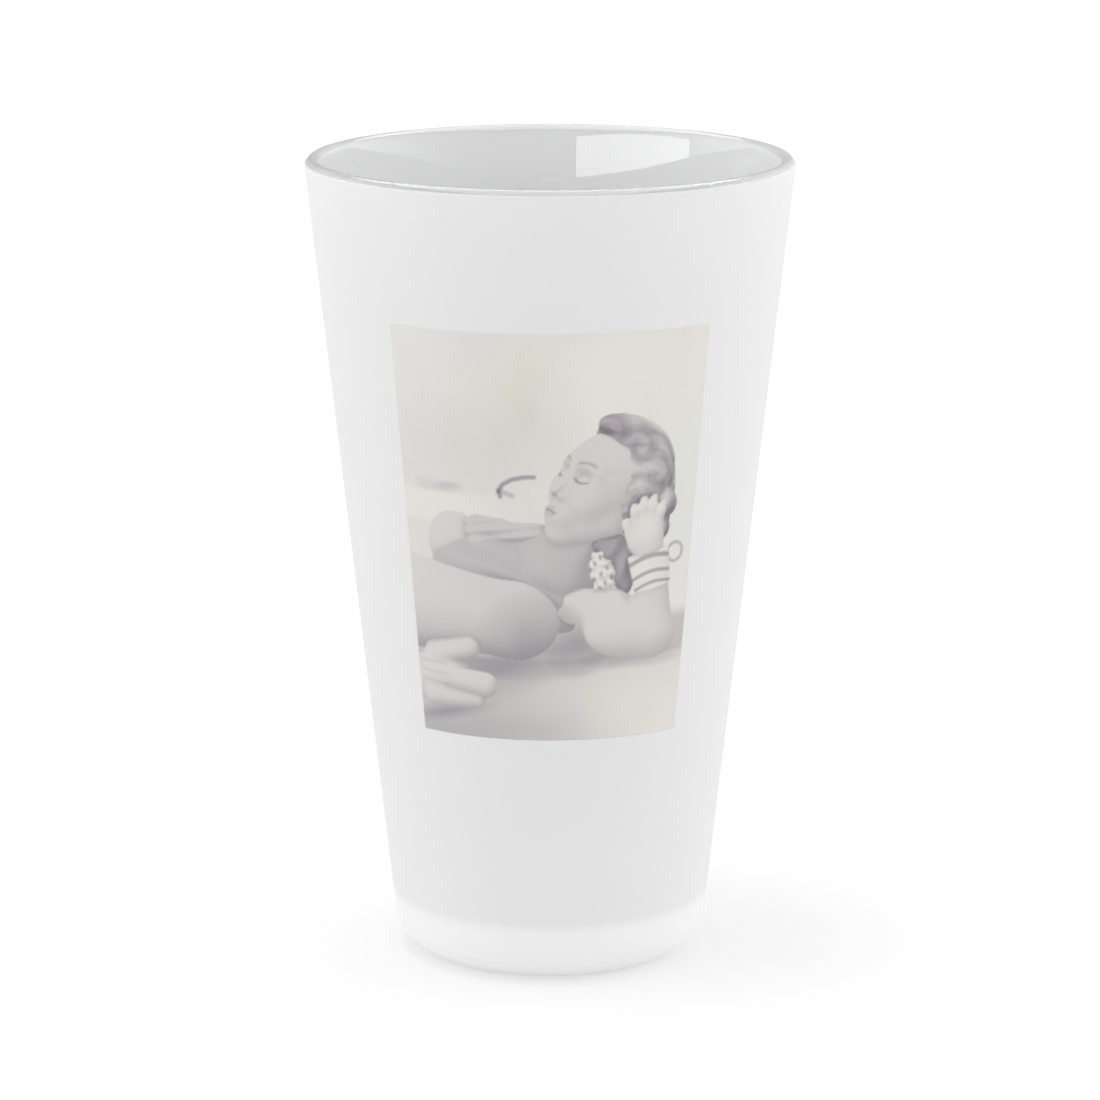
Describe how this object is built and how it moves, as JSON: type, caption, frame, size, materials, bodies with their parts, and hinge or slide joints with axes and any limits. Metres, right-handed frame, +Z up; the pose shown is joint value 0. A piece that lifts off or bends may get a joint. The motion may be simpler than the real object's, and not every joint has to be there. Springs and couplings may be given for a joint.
{
  "type": "pint glass",
  "caption": "Straight-sided conical drinking glass with a heavy round-edged base, a rounded clear rim, a frosted outside and a rectangular picture printed on its front.",
  "frame": {"origin": "centre of the foot, on the surface that the glass stands on", "axes": "+Z up along the glass's axis towards the rim; the printed picture faces -Y; +X to the picture's right"},
  "size_m": [0.0888, 0.0888, 0.148],
  "materials": {
    "clear_glass": "clear colourless soda-lime glass, polished inside, at the rim and under the foot",
    "frost": "fine satin white frost, translucent, even, with a very fine grain",
    "print_ink": "satin dye print in warm greys and mauve greys, as matte as the frost that it is on"
  },
  "bodies": {
    "root": {"glass_tumbler": "clear_glass", "frosted_coat": "frost", "printed_picture": "print_ink"}
  },
  "joints": []
}
